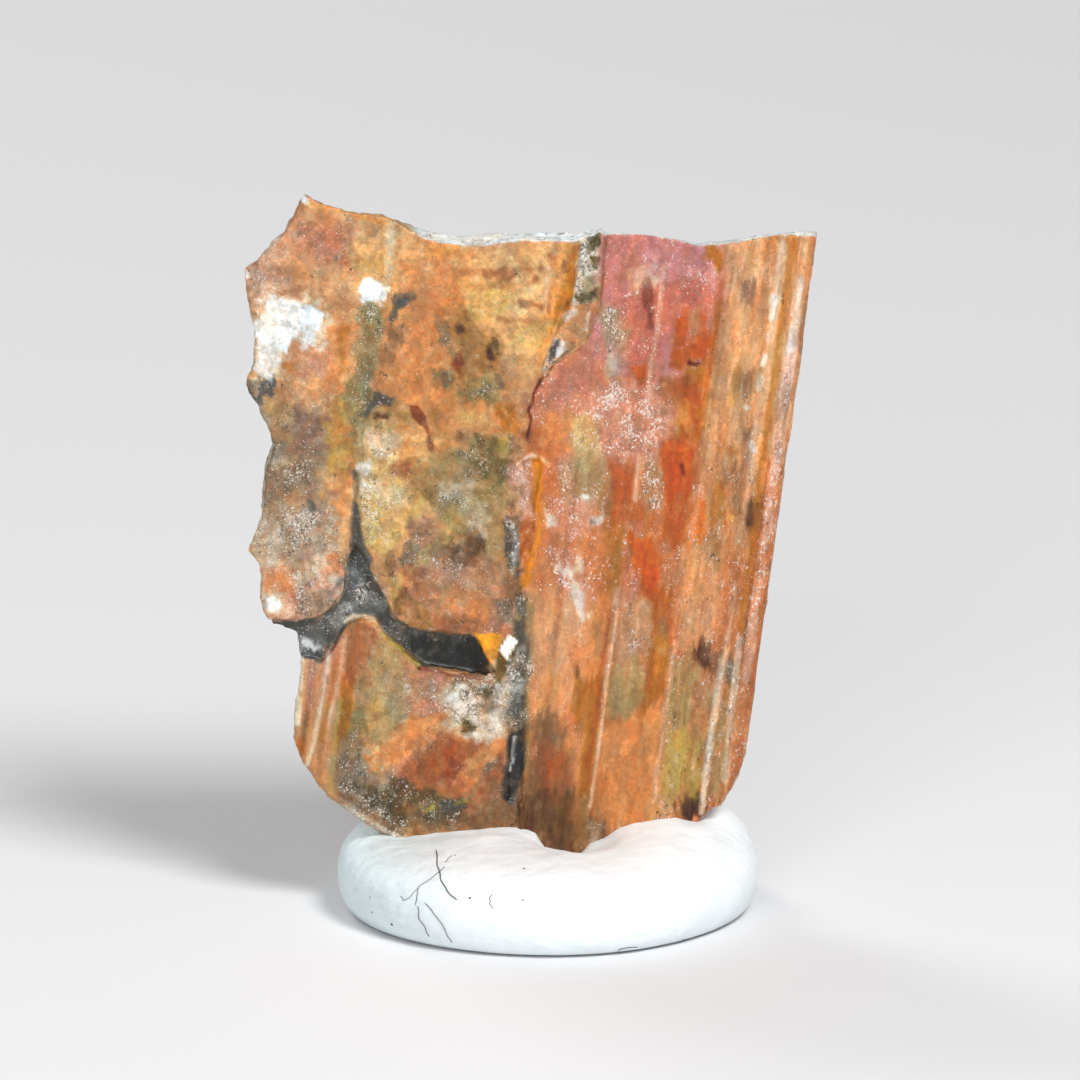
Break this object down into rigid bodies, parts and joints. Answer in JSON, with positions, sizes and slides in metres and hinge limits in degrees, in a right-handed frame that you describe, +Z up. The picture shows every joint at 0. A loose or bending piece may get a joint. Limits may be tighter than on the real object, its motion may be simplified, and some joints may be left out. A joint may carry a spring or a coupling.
{
  "type": "brookite crystal on a putty pad",
  "caption": "Thin striated mineral plate with a broken top and side, held upright in a squashed pad of mounting putty.",
  "frame": {"origin": "middle of the bounding box, on the surface that the pad rests on", "axes": "+Z up, the longest extent; +X to the right seen from the front; the crystal's plain front face looks towards -Y, and Y is across the plate's thin way"},
  "size_m": [0.0128, 0.01, 0.0166],
  "materials": {
    "brookite": "orange to red-brown translucent mineral, striated along its length, with a vitreous sheen",
    "putty": "matt bluish-white modelling putty"
  },
  "bodies": {
    "root": {"brookite_crystal": "brookite", "mounting_putty": "putty"}
  },
  "joints": []
}
